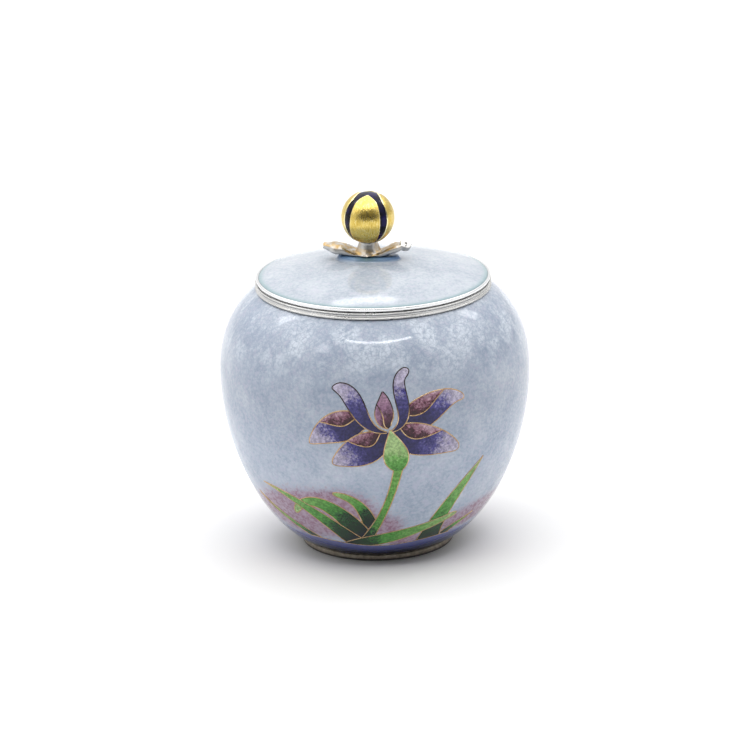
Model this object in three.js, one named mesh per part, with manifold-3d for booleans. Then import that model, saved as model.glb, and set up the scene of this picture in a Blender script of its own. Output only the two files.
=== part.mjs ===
// A cloisonne enamel jar with a lift-off lid, in millimetres, with +Z up.
// The origin is the centre of the foot, on the surface that the jar stands on. The decorated front faces -Y.

import * as THREE from 'three';
import { mergeVertices } from 'three/addons/utils/BufferGeometryUtils.js';
import Module from 'manifold-3d';

const wasm = await Module();
wasm.setup();

// Driving dimensions.
const BELLY_RADIUS = 50; // the jar at its widest
const BELLY_HEIGHT = 58; // where it is widest
const WALL = 1.8; // copper about 1 mm thick, with enamel on both sides

// Foot.
const FOOT_RADIUS = 24.5;
const FOOT_INNER_RADIUS = 22;
const FOOT_HEIGHT = 1.9;
const FOOT_CHAMFER = 0.3;
const BASE_RISE = 1.2; // the base inside the foot is pushed up by this at its centre

// Mouth and collar. The jar's neck stands inside the collar, and the lid rests on the collar's top.
const MOUTH_INNER_RADIUS = 35.4;
const NECK_RADIUS = 37;
const SHOULDER_RADIUS = 37.6; // the jar's outside where it meets the collar
const COLLAR_RADIUS = 37.8;
const COLLAR_FOOT = 84.6;
const COLLAR_TOP = 87;
const COLLAR_CAP = 0.5; // the metal over the lip
const GROOVE_DEPTH = 0.16;
const GROOVE_HALF_WIDTH = 0.16;
const GROOVE_HEIGHTS = [85.35, 86.15];

// The jar's outside is two cubic curves that meet upright at the belly. Each handle is a length along its end's
// tangent, and the angles are above the horizontal.
const FLANK_HANDLE = 25;
const FOOT_HANDLE = 14.7;
const FOOT_ANGLE = THREE.MathUtils.degToRad(27);
const SHOULDER_HANDLE = 10.4;
const COLLAR_HANDLE = 11.1;
const COLLAR_ANGLE = THREE.MathUtils.degToRad(37.4);

// Lid.
const DOME_RADIUS = 36.6;
const DOME_EDGE = 88.5; // the height of the dome's outside at its edge
const DOME_TOP = 94.2;
const DOME_THICKNESS = 1.5;
const RIM_RADIUS = 37.45;
const RIM_ROUND = 0.5; // the rim's top edge, in two facets
const RIM_FACET = { in: 0.3, down: 0.5 }; // where they meet, as shares of it
const RIM_DROP = 0.7; // the round starts this far below the rim's top
const RIM_CHAMFER = 0.2;
const RIM_SEAT = 87.6; // the ledge that the dome's edge sits on
const SKIRT_RADIUS = 34.7; // leaves 0.7 mm all round inside the mouth
const SKIRT_THICKNESS = 0.8;
const SKIRT_FOOT = 82.5;

// Finial. It was set by hand, a little off the axis and turned.
const FINIAL_X = -1.3;
const BRANCH_TURN = THREE.MathUtils.degToRad(-8);
const PAD_HALF_LENGTH = 10;
const PAD_HALF_WIDTH = 5.3;
const PAD_TOP = 95.2;
const PAD_FOOT = 93.2; // inside the dome's wall
const PAD_BEVEL = 0.4;
const BRANCH_FLAT = 3.5; // the underside is flat this far out from the neck
const BRANCH_HALF_WIDTH = 3.8;
const BRANCH_THICKNESS = 1.2; // at the neck
const BRANCH_SQUARENESS = 0.6; // the section's corners: 1 is an ellipse, and less is squarer
// Each arm: its reach, how high its tip's underside is above the pad, how its rise bends, its full thickness, its
// end's size as a share of its own, and the shares of its reach over which it thickens and closes to its end.
const LEFT_ARM = {
  reach: 14.6, rise: 2.9, bend: 1.9, thickness: 2.7, end: 0.3, thickens: [0.25, 0.6], closes: [0.74, 1],
};
const RIGHT_ARM = {
  reach: 12.4, rise: 2.2, bend: 1.1, thickness: 2.4, end: 0.5, thickens: [0.25, 0.65], closes: [0.66, 1],
};
// The cut end of the right arm: a round face that looks up, to the front and a little outwards.
const CUT_CENTRE = new THREE.Vector3(12.2, -0.8, 99.35);
const CUT_FACING = new THREE.Vector3(0.37, -0.51, 0.77).normalize();
const CUT_RADIUS = 1.9;
const CUT_DEPTH = 2;
const NECK_TOP = 99.45;
const NECK_TOP_RADIUS = 3.1;
const NECK_FLARE = 1.7;
const NECK_FOOT = 95.7;
const NECK_BENDS = [[0.45, 0.3], [0, 0.7]]; // shares of the flare and of the height
const BALL_CENTRE = 107.5;
const BALL_RADIUS = 8.25;
const PANEL_INNER_RADIUS = 8.35;
const PANEL_RADIUS = 8.65;
const PANEL_COUNT = 4;
const PANEL_TURN = THREE.MathUtils.degToRad(-8);
const PANEL_HALF_ANGLE = THREE.MathUtils.degToRad(35.5);
const PANEL_TIP = THREE.MathUtils.degToRad(18.5); // angles from the ball's top
const PANEL_SHOULDER = THREE.MathUtils.degToRad(45);
const PANEL_FOOT = THREE.MathUtils.degToRad(150);
const PANEL_ARCH_POWER = 2.3;
const PANEL_ROW_POWER = 1.25; // above 1 sets the rows closer together in the arch

// How finely the curved surfaces are faceted.
const TURNED_SEGMENTS = 48;
const BALL_SEGMENTS = 24;
const FLANK_STEPS = 9;
const SHOULDER_STEPS = 7;
const DOME_STEPS = 5;
const BASE_STEPS = 2;
const BALL_STEPS = 10;
const SECTION_SIDES = 12;
const BRANCH_STATIONS = 15;
const NECK_SEGMENTS = 20;
const CUT_SEGMENTS = 14;
const PAD_SEGMENTS = 24;
const PANEL_ROWS = 10;
const PANEL_COLUMNS = 6;

const blueEnamel = new THREE.MeshStandardMaterial({ color: 0xa9b6cb, roughness: 0.12, metalness: 0 });
const navyEnamel = new THREE.MeshStandardMaterial({ color: 0x1b1a4a, roughness: 0.1, metalness: 0 });
const silver = new THREE.MeshStandardMaterial({ color: 0xd9d9d6, roughness: 0.2, metalness: 1 });
const gold = new THREE.MeshStandardMaterial({ color: 0xcdb050, roughness: 0.35, metalness: 1 });
const bronze = new THREE.MeshStandardMaterial({ color: 0x5e5142, roughness: 0.55, metalness: 1 });

// A solid turned about the Z axis. The profile is [radius, height] pairs and runs outwards along the bottom,
// up the outside, inwards over the top and down the inside.
function turned(profile, segments = TURNED_SEGMENTS) {
  const points = profile.map(([radius, height]) => new THREE.Vector2(radius, height));
  return new THREE.LatheGeometry(points, segments).rotateX(Math.PI / 2);
}

// A profile that closes on itself, for a ring.
function turnedRing(profile) {
  return turned([...profile, profile[0]]);
}

// steps + 1 points along a curve in the profile plane, moved inwards from it by depth.
function wallLine(curve, steps, depth) {
  const line = [];
  for (let i = 0; i <= steps; i += 1) {
    const place = curve.getPoint(i / steps);
    const along = curve.getTangent(i / steps);
    line.push([place.x - depth * along.y, place.y + depth * along.x]);
  }
  return line;
}

// steps points from the axis outwards, on a shallow bowl that is height high at the axis and edge high at radius.
function bowlLine(height, edge, radius, steps) {
  const line = [];
  for (let i = 0; i < steps; i += 1) {
    const r = (radius * i) / steps;
    line.push([r, height + (edge - height) * (r / radius) ** 2]);
  }
  return line;
}

// The end of a curve's handle: length away from a point, at an angle above the horizontal.
function handle(point, length, angle) {
  return new THREE.Vector2(point.x + length * Math.cos(angle), point.y + length * Math.sin(angle));
}

function asSolid(geometry) {
  geometry.deleteAttribute('normal');
  geometry.deleteAttribute('uv');
  const merged = mergeVertices(geometry, 1e-4);
  const mesh = new wasm.Mesh({
    numProp: 3,
    vertProperties: new Float32Array(merged.attributes.position.array),
    triVerts: new Uint32Array(merged.index.array),
  });
  return new wasm.Manifold(mesh);
}

function asGeometry(solid) {
  const mesh = solid.getMesh();
  const geometry = new THREE.BufferGeometry();
  geometry.setAttribute('position', new THREE.BufferAttribute(mesh.vertProperties, mesh.numProp));
  geometry.setIndex(new THREE.BufferAttribute(mesh.triVerts, 1));
  geometry.computeVertexNormals();
  return geometry;
}

// A closed skin over rings of points that all have the same number of points, with both ends capped.
function lofted(rings) {
  const sides = rings[0].length;
  const positions = rings.flat(2);
  const triangles = [];
  for (let ring = 0; ring + 1 < rings.length; ring += 1) {
    for (let side = 0; side < sides; side += 1) {
      const a = ring * sides + side;
      const b = ring * sides + ((side + 1) % sides);
      triangles.push(a, b, b + sides, a, b + sides, a + sides);
    }
  }
  const last = (rings.length - 1) * sides;
  for (let side = 1; side + 1 < sides; side += 1) {
    triangles.push(0, side + 1, side);
    triangles.push(last, last + side, last + side + 1);
  }
  const geometry = new THREE.BufferGeometry();
  geometry.setAttribute('position', new THREE.Float32BufferAttribute(positions, 3));
  geometry.setIndex(triangles);
  geometry.computeVertexNormals();
  return geometry;
}

function jarBody() {
  const belly = new THREE.Vector2(BELLY_RADIUS, BELLY_HEIGHT);
  const foot = new THREE.Vector2(FOOT_RADIUS, FOOT_HEIGHT);
  const shoulder = new THREE.Vector2(SHOULDER_RADIUS, COLLAR_FOOT);
  const flank = new THREE.CubicBezierCurve(
    foot,
    handle(foot, FOOT_HANDLE, FOOT_ANGLE),
    new THREE.Vector2(BELLY_RADIUS, BELLY_HEIGHT - FLANK_HANDLE),
    belly,
  );
  const neck = new THREE.CubicBezierCurve(
    belly,
    new THREE.Vector2(BELLY_RADIUS, BELLY_HEIGHT + SHOULDER_HANDLE),
    handle(shoulder, COLLAR_HANDLE, -COLLAR_ANGLE),
    shoulder,
  );
  const innerFlank = wallLine(flank, FLANK_STEPS - 2, WALL);
  const innerNeck = wallLine(neck, SHOULDER_STEPS - 2, WALL);
  const [floorRadius, floorEdge] = innerFlank[0];
  const floorHeight = FOOT_HEIGHT + BASE_RISE + WALL;
  const lip = COLLAR_TOP - COLLAR_CAP;
  return turned([
    ...bowlLine(FOOT_HEIGHT + BASE_RISE, FOOT_HEIGHT, FOOT_INNER_RADIUS, BASE_STEPS),
    [FOOT_INNER_RADIUS, FOOT_HEIGHT],
    ...wallLine(flank, FLANK_STEPS, 0),
    ...wallLine(neck, SHOULDER_STEPS, 0).slice(1),
    [NECK_RADIUS, COLLAR_FOOT],
    [NECK_RADIUS, lip],
    [MOUTH_INNER_RADIUS, lip],
    [MOUTH_INNER_RADIUS, COLLAR_FOOT],
    ...innerNeck.reverse(),
    ...innerFlank.reverse().slice(1),
    ...bowlLine(floorHeight, floorEdge, floorRadius, BASE_STEPS).reverse(),
  ]);
}

function footRing() {
  return turnedRing([
    [FOOT_INNER_RADIUS + FOOT_CHAMFER, 0],
    [FOOT_RADIUS - FOOT_CHAMFER, 0],
    [FOOT_RADIUS, FOOT_CHAMFER],
    [FOOT_RADIUS, FOOT_HEIGHT],
    [FOOT_INNER_RADIUS, FOOT_HEIGHT],
  ]);
}

function mouthCollar() {
  const grooves = GROOVE_HEIGHTS.flatMap((height) => [
    [COLLAR_RADIUS, height - GROOVE_HALF_WIDTH],
    [COLLAR_RADIUS - GROOVE_DEPTH, height],
    [COLLAR_RADIUS, height + GROOVE_HALF_WIDTH],
  ]);
  return turnedRing([
    [NECK_RADIUS, COLLAR_FOOT],
    [COLLAR_RADIUS, COLLAR_FOOT],
    ...grooves,
    [COLLAR_RADIUS, COLLAR_TOP],
    [MOUTH_INNER_RADIUS, COLLAR_TOP],
    [MOUTH_INNER_RADIUS, COLLAR_TOP - COLLAR_CAP],
    [NECK_RADIUS, COLLAR_TOP - COLLAR_CAP],
  ]);
}

function lidRim() {
  const skirtInner = SKIRT_RADIUS - SKIRT_THICKNESS;
  return turnedRing([
    [skirtInner, SKIRT_FOOT],
    [SKIRT_RADIUS, SKIRT_FOOT],
    [SKIRT_RADIUS, COLLAR_TOP],
    [RIM_RADIUS - RIM_CHAMFER, COLLAR_TOP],
    [RIM_RADIUS, COLLAR_TOP + RIM_CHAMFER],
    [RIM_RADIUS, DOME_EDGE - RIM_DROP],
    [RIM_RADIUS - RIM_FACET.in * RIM_ROUND, DOME_EDGE - RIM_FACET.down * RIM_ROUND],
    [RIM_RADIUS - RIM_ROUND, DOME_EDGE],
    [DOME_RADIUS, DOME_EDGE],
    [DOME_RADIUS, RIM_SEAT],
    [skirtInner, RIM_SEAT],
  ]);
}

// The dome with the oval pad that carries the finial.
function lidDome() {
  const underRadius = SKIRT_RADIUS - SKIRT_THICKNESS;
  const shell = turned([
    ...bowlLine(DOME_TOP - DOME_THICKNESS, RIM_SEAT, underRadius, DOME_STEPS),
    [underRadius, RIM_SEAT],
    [DOME_RADIUS, RIM_SEAT],
    [DOME_RADIUS, DOME_EDGE],
    ...bowlLine(DOME_TOP, DOME_EDGE, DOME_RADIUS, DOME_STEPS).reverse(),
  ]);
  const outline = new THREE.Shape();
  outline.absellipse(0, 0, PAD_HALF_LENGTH - PAD_BEVEL, PAD_HALF_WIDTH - PAD_BEVEL, 0, 2 * Math.PI);
  const pad = new THREE.ExtrudeGeometry(outline, {
    depth: PAD_TOP - PAD_FOOT - PAD_BEVEL,
    curveSegments: PAD_SEGMENTS,
    bevelThickness: PAD_BEVEL,
    bevelSize: PAD_BEVEL,
    bevelSegments: 1,
  });
  pad.rotateZ(BRANCH_TURN).translate(FINIAL_X, 0, PAD_FOOT);
  return asGeometry(asSolid(shell).add(asSolid(pad)));
}

// The silver branch: two arms that rise from a flat middle, with squarish oval sections.
function branchArms() {
  const rings = [];
  for (let i = 0; i <= BRANCH_STATIONS; i += 1) {
    const x = THREE.MathUtils.lerp(-LEFT_ARM.reach, RIGHT_ARM.reach, i / BRANCH_STATIONS);
    const arm = x < 0 ? LEFT_ARM : RIGHT_ARM;
    const out = Math.abs(x) / arm.reach;
    const flat = BRANCH_FLAT / arm.reach;
    const lift = (Math.max(0, out - flat) / (1 - flat)) ** arm.bend;
    const full = THREE.MathUtils.lerp(
      BRANCH_THICKNESS, arm.thickness, THREE.MathUtils.smoothstep(out, ...arm.thickens));
    const size = THREE.MathUtils.lerp(1, arm.end, THREE.MathUtils.smoothstep(out, ...arm.closes));
    const middle = PAD_TOP + arm.rise * lift + full / 2;
    const ring = [];
    for (let side = 0; side < SECTION_SIDES; side += 1) {
      const angle = (2 * Math.PI * (side + 0.5)) / SECTION_SIDES;
      const across = squared(Math.cos(angle));
      const up = squared(Math.sin(angle)) / squared(Math.cos(Math.PI / SECTION_SIDES));
      ring.push([x, BRANCH_HALF_WIDTH * size * across, middle + (full / 2) * Math.sqrt(size) * up]);
    }
    rings.push(ring);
  }
  return lofted(rings);
}

// Makes an ellipse's sine or cosine squarer.
function squared(value) {
  return Math.sign(value) * Math.abs(value) ** BRANCH_SQUARENESS;
}

// The round cut end, as a short rod whose top face is the cut.
function cutEnd() {
  const rod = new THREE.CylinderGeometry(CUT_RADIUS, CUT_RADIUS, CUT_DEPTH, CUT_SEGMENTS);
  rod.translate(0, -CUT_DEPTH / 2, 0);
  rod.applyQuaternion(new THREE.Quaternion().setFromUnitVectors(new THREE.Vector3(0, 1, 0), CUT_FACING));
  return rod.translate(...CUT_CENTRE);
}

function finialBranch() {
  const height = NECK_TOP - NECK_FOOT;
  const neck = turned([
    [0, NECK_FOOT],
    [NECK_TOP_RADIUS + NECK_FLARE, NECK_FOOT],
    ...NECK_BENDS.map(([flare, up]) => [NECK_TOP_RADIUS + flare * NECK_FLARE, NECK_FOOT + up * height]),
    [NECK_TOP_RADIUS, NECK_TOP],
    [0, NECK_TOP],
  ], NECK_SEGMENTS);
  return asGeometry(asSolid(branchArms()).add(asSolid(neck)).add(asSolid(cutEnd())));
}

// The ball, with a small flat below where it sits on the neck.
function finialBall() {
  const flat = Math.acos((NECK_TOP - BALL_CENTRE) / BALL_RADIUS);
  const profile = [[0, NECK_TOP]];
  for (let i = 0; i <= BALL_STEPS; i += 1) {
    const fromTop = flat * (1 - i / BALL_STEPS);
    profile.push([BALL_RADIUS * Math.sin(fromTop), BALL_CENTRE + BALL_RADIUS * Math.cos(fromTop)]);
  }
  return turned(profile, BALL_SEGMENTS);
}

// Half the angle that a panel covers round the ball, at an angle from the ball's top. It is a pointed arch and then
// straight.
function panelHalfAngle(fromTop) {
  if (fromTop >= PANEL_SHOULDER) return PANEL_HALF_ANGLE;
  const below = (PANEL_SHOULDER - fromTop) / (PANEL_SHOULDER - PANEL_TIP);
  return PANEL_HALF_ANGLE * (1 - below ** PANEL_ARCH_POWER);
}

// One gold panel: a curved plate over the ball, centred on -Y.
function goldPanel() {
  const positions = [];
  const triangles = [];
  const width = PANEL_COLUMNS + 1;
  const height = PANEL_ROWS + 1;
  for (const radius of [PANEL_RADIUS, PANEL_INNER_RADIUS]) {
    for (let row = 0; row < height; row += 1) {
      const share = (row / PANEL_ROWS) ** PANEL_ROW_POWER;
      const fromTop = THREE.MathUtils.lerp(PANEL_TIP, PANEL_FOOT, share);
      for (let column = 0; column < width; column += 1) {
        const turn = panelHalfAngle(fromTop) * ((2 * column) / PANEL_COLUMNS - 1);
        const level = radius * Math.sin(fromTop);
        positions.push(level * Math.sin(turn), -level * Math.cos(turn), BALL_CENTRE + radius * Math.cos(fromTop));
      }
    }
  }
  const inner = width * height;
  const addQuad = (a, b, c, d) => triangles.push(a, b, c, a, c, d);
  for (let row = 0; row < PANEL_ROWS; row += 1) {
    for (let column = 0; column < PANEL_COLUMNS; column += 1) {
      const at = row * width + column;
      addQuad(at, at + width, at + width + 1, at + 1);
      addQuad(inner + at, inner + at + 1, inner + at + width + 1, inner + at + width);
    }
    const left = row * width;
    const right = left + PANEL_COLUMNS;
    addQuad(left, inner + left, inner + left + width, left + width);
    addQuad(right, right + width, inner + right + width, inner + right);
  }
  for (let column = 0; column < PANEL_COLUMNS; column += 1) {
    const foot = PANEL_ROWS * width + column;
    addQuad(foot, inner + foot, inner + foot + 1, foot + 1);
  }
  const geometry = new THREE.BufferGeometry();
  geometry.setAttribute('position', new THREE.Float32BufferAttribute(positions, 3));
  geometry.setIndex(triangles);
  return asGeometry(asSolid(geometry));
}

function named(name, geometry, material) {
  const mesh = new THREE.Mesh(geometry, material);
  mesh.name = name;
  return mesh;
}

const jar = new THREE.Group();
jar.add(
  named('jar_body', jarBody(), blueEnamel),
  named('foot_ring', footRing(), bronze),
  named('mouth_collar', mouthCollar(), silver),
);

const branch = named('finial_branch', finialBranch(), silver);
branch.rotation.z = BRANCH_TURN;

const finial = new THREE.Group();
finial.position.x = FINIAL_X;
finial.add(branch, named('finial_ball', finialBall(), navyEnamel));
for (let i = 0; i < PANEL_COUNT; i += 1) {
  const panel = named(`gold_panel_${i + 1}`, goldPanel(), gold);
  panel.rotation.z = PANEL_TURN + (2 * Math.PI * i) / PANEL_COUNT;
  finial.add(panel);
}

const lid = new THREE.Group();
lid.add(named('lid_dome', lidDome(), blueEnamel), named('lid_rim', lidRim(), silver), finial);

const coveredJar = new THREE.Group();
coveredJar.add(jar, lid);

export default coveredJar;
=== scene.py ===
"""A cloisonne enamel jar with a lift-off lid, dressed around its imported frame.

Shapes are worked out in millimetres in the frame's own axes, +Z up with the decorated front
towards -Y, and become metres when a mesh is made.
"""
import math

import bmesh
import bpy
import numpy as np
from mathutils import Matrix, Vector, noise


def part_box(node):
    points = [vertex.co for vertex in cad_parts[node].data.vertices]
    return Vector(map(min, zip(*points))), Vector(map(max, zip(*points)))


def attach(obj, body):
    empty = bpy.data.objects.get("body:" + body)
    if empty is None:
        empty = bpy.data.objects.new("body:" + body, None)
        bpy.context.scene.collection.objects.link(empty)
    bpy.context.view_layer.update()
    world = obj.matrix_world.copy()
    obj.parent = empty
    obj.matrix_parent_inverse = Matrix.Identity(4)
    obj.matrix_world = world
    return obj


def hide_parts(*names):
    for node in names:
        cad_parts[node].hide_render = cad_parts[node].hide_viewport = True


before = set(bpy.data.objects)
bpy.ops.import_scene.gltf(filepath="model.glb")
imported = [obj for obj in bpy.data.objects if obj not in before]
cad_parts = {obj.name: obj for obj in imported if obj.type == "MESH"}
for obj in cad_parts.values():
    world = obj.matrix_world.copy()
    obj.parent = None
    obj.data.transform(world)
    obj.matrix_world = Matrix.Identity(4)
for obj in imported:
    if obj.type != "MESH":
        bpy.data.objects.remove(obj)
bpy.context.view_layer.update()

MM = 0.001
BODY = "root"
TAU = 2 * math.pi


def node_box(node):
    """A CAD node's lowest and highest corners in millimetres."""
    low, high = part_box(node)
    return np.array(low) / MM, np.array(high) / MM


JAR_HIGH = node_box("jar_body")[1]
FOOT_HIGH = node_box("foot_ring")[1]
COLLAR_LOW, COLLAR_HIGH = node_box("mouth_collar")
RIM_LOW, RIM_HIGH = node_box("lid_rim")
DOME_LOW, DOME_HIGH = node_box("lid_dome")
BALL_LOW, BALL_HIGH = node_box("finial_ball")

# The jar's wall, by the same two curves as its solid.
BELLY_RADIUS = JAR_HIGH[0]
BELLY_HEIGHT = 58.0
WALL = 1.8
FOOT_RADIUS = FOOT_HIGH[0]
FOOT_INNER_RADIUS = 22.0
FOOT_HEIGHT = FOOT_HIGH[2]
BASE_RISE = 1.2
SHOULDER_RADIUS = 37.6
FLANK_HANDLE = 25.0
FOOT_HANDLE = 14.7
FOOT_ANGLE = math.radians(27)
SHOULDER_HANDLE = 10.4
COLLAR_HANDLE = 11.1
COLLAR_ANGLE = math.radians(37.4)

# Mouth, collar and lid.
MOUTH_INNER_RADIUS = 35.4
NECK_RADIUS = 37.0
COLLAR_RADIUS = COLLAR_HIGH[0]
COLLAR_FOOT = COLLAR_LOW[2]
COLLAR_TOP = COLLAR_HIGH[2]
COLLAR_CAP = 0.5
COLLAR_BEAD = 0.6  # how thick each bead is
COLLAR_GAP = 0.28  # the recess below them
COLLAR_RECESS = 0.4
RIM_RADIUS = RIM_HIGH[0]
RIM_TOP = RIM_HIGH[2]
RIM_SEAT = DOME_LOW[2]
SKIRT_FOOT = RIM_LOW[2]
SKIRT_RADIUS = 34.7
SKIRT_THICKNESS = 0.8
DOME_RADIUS = DOME_HIGH[0]
DOME_EDGE = RIM_TOP
DOME_TOP = 94.2
DOME_THICKNESS = 1.5

# Finial, in its own frame: centred on the ball's axis and turned with the branch.
FINIAL_X = (BALL_LOW[0] + BALL_HIGH[0]) / 2
FINIAL_TURN = math.radians(-8)
PAD_HALF_LENGTH = 10.0
PAD_HALF_WIDTH = 5.3
PAD_TOP = DOME_HIGH[2]
BALL_RADIUS = (BALL_HIGH[0] - BALL_LOW[0]) / 2
BALL_CENTRE = BALL_HIGH[2] - BALL_RADIUS
NECK_TOP = BALL_LOW[2]


# ---- geometry helpers

def srgb(red, green, blue):
    """A linear colour from 0-255 display values."""
    def linear(value):
        share = value / 255
        return share / 12.92 if share <= 0.04045 else ((share + 0.055) / 1.055) ** 2.4
    return (linear(red), linear(green), linear(blue), 1.0)


def bezier(points, t):
    """Points on a cubic curve at the parameters t, as rows."""
    p0, p1, p2, p3 = (np.array(p, float) for p in points)
    t = np.atleast_1d(t)[:, None]
    s = 1 - t
    return s**3 * p0 + 3 * s * s * t * p1 + 3 * s * t * t * p2 + t**3 * p3


def smoothstep(value, start, end):
    share = np.clip((np.asarray(value, float) - start) / (end - start), 0, 1)
    return share * share * (3 - 2 * share)


def distances(line):
    """How far along a line of points each of them lies."""
    return np.concatenate([[0], np.cumsum(np.linalg.norm(np.diff(line, axis=0), axis=1))])


def unit(rows):
    return rows / np.linalg.norm(rows, axis=1)[:, None]


def circle(count, shift=0.0):
    """The cosine and sine of count even steps round a turn."""
    angles = [TAU * (i + shift) / count for i in range(count)]
    return [(math.cos(angle), math.sin(angle)) for angle in angles]


def polar(point, length, angle):
    return (point[0] + length * math.cos(angle), point[1] + length * math.sin(angle))


def link(name, data):
    """A new object in the scene."""
    made = bpy.data.objects.new(name, data)
    bpy.context.scene.collection.objects.link(made)
    return made


def make_object(name, verts, faces, material):
    """A smooth mesh piece from vertices in millimetres. It rides on the one body."""
    mesh = bpy.data.meshes.new(name)
    mesh.from_pydata([tuple(float(c) * MM for c in v) for v in verts], [], [tuple(f) for f in faces])
    mesh.validate()
    mesh.update()
    make_smooth(mesh)
    piece = link(name, mesh)
    mesh.materials.append(MATERIALS[material])
    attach(piece, BODY)
    return piece


def make_smooth(mesh):
    mesh.polygons.foreach_set("use_smooth", [True] * len(mesh.polygons))


def set_attribute(piece, name, values):
    layer = piece.data.attributes.new(name, "FLOAT", "POINT")
    layer.data.foreach_set("value", np.asarray(values, np.float32))


def turned(profile, segments, closed=False):
    """Vertices and faces of a profile of (radius, height) turned about Z.

    The profile runs outwards along the bottom, up the outside and back inside. It starts and
    ends on the axis, or closes on itself.
    """
    verts = []
    rings = []
    for radius, height in profile:
        if radius < 1e-6:
            rings.append([len(verts)] * segments)
            verts.append((0.0, 0.0, height))
            continue
        rings.append(list(range(len(verts), len(verts) + segments)))
        verts += [(radius * x, radius * y, height) for x, y in circle(segments)]
    pairs = list(zip(rings, rings[1:])) + ([(rings[-1], rings[0])] if closed else [])
    faces = []
    for low, high in pairs:
        for i in range(segments):
            j = (i + 1) % segments
            corners = [low[i], low[j], high[j], high[i]]
            face = [c for k, c in enumerate(corners) if c != corners[k - 1]]
            if len(face) > 2:
                faces.append(face)
    return verts, faces


def turned_piece(name, profile, segments, material, closed=False):
    verts, faces = turned(profile, segments, closed)
    return make_object(name, verts, faces, material)


def rounded(corners, radius, steps=4):
    """A closed profile with each corner cut to a small arc of about the given radius."""
    profile = []
    count = len(corners)
    for i, corner in enumerate(corners):
        here = np.array(corner, float)
        before = np.array(corners[i - 1], float) - here
        after = np.array(corners[(i + 1) % count], float) - here
        reach = min(radius, 0.45 * np.linalg.norm(before), 0.45 * np.linalg.norm(after))
        start = here + before / np.linalg.norm(before) * reach
        end = here + after / np.linalg.norm(after) * reach
        for k in range(steps + 1):
            t = k / steps
            profile.append(tuple((1 - t) ** 2 * start + 2 * t * (1 - t) * here + t * t * end))
    return profile


def tube_faces(first, rings, sides):
    """The faces of a capped tube whose rings of vertices are numbered from first."""
    faces = []
    for ring in range(first, first + (rings - 1) * sides, sides):
        for side in range(sides):
            a = ring + side
            b = ring + (side + 1) % sides
            faces.append((a, b, b + sides, a + sides))
    last = first + (rings - 1) * sides
    faces.append(tuple(reversed(range(first, first + sides))))
    faces.append(tuple(range(last, last + sides)))
    return faces


def sheet_faces(rows, columns):
    """The faces of a closed sheet: a front grid of vertices and a back one, joined at the border."""
    count = rows * columns
    faces = []
    for r in range(rows - 1):
        for c in range(columns - 1):
            a = r * columns + c
            quad = (a, a + 1, a + columns + 1, a + columns)
            faces.append(quad)
            faces.append(tuple(count + i for i in reversed(quad)))
    last_row = (rows - 1) * columns
    border = list(range(columns - 1))
    border += range(columns - 1, count - 1, columns)
    border += range(count - 1, last_row, -1)
    border += range(last_row, 0, -columns)
    for a, b in zip(border, border[1:] + border[:1]):
        faces.append((b, a, a + count, b + count))
    return faces


# ---- the wall as a surface to draw on

# The ground lies this far inside the solid's wall, so that the wires that stand off it stay
# within the solid's size.
WALL_INSET = 0.13


def wall_curve():
    """The outside of the jar from foot to collar: arc length, radius, height and their slopes."""
    foot = (FOOT_RADIUS, FOOT_HEIGHT)
    belly = (BELLY_RADIUS, BELLY_HEIGHT)
    shoulder = (SHOULDER_RADIUS, COLLAR_FOOT)
    flank = (foot, polar(foot, FOOT_HANDLE, FOOT_ANGLE),
             (BELLY_RADIUS, BELLY_HEIGHT - FLANK_HANDLE), belly)
    neck = (belly, (BELLY_RADIUS, BELLY_HEIGHT + SHOULDER_HANDLE),
            polar(shoulder, COLLAR_HANDLE, -COLLAR_ANGLE), shoulder)
    line = np.vstack([bezier(flank, np.linspace(0, 1, 600)), bezier(neck, np.linspace(0, 1, 400))[1:]])
    arc = distances(line)
    slope_r = np.gradient(line[:, 0], arc)
    slope_z = np.gradient(line[:, 1], arc)
    radius = line[:, 0] - WALL_INSET * slope_z
    height = line[:, 1] + WALL_INSET * slope_r
    return arc, radius, height, slope_r, slope_z


ARC, WALL_R, WALL_Z, SLOPE_R, SLOPE_Z = wall_curve()
WALL_LENGTH = ARC[-1]


def wall_profile(up, out=0.0):
    """The radius and height at up along the wall from the foot, standing out from it."""
    radius = np.interp(up, ARC, WALL_R) + out * np.interp(up, ARC, SLOPE_Z)
    height = np.interp(up, ARC, WALL_Z) - out * np.interp(up, ARC, SLOPE_R)
    return radius, height


def on_wall(across, up, out=0.0):
    """Points on the jar's outside, where across is millimetres round the belly from the front."""
    angle = np.asarray(across, float) / BELLY_RADIUS
    radius, height = wall_profile(np.clip(up, 0, WALL_LENGTH), out)
    return np.stack([radius * np.sin(angle), -radius * np.cos(angle), height], axis=-1)


# ---- materials

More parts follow.
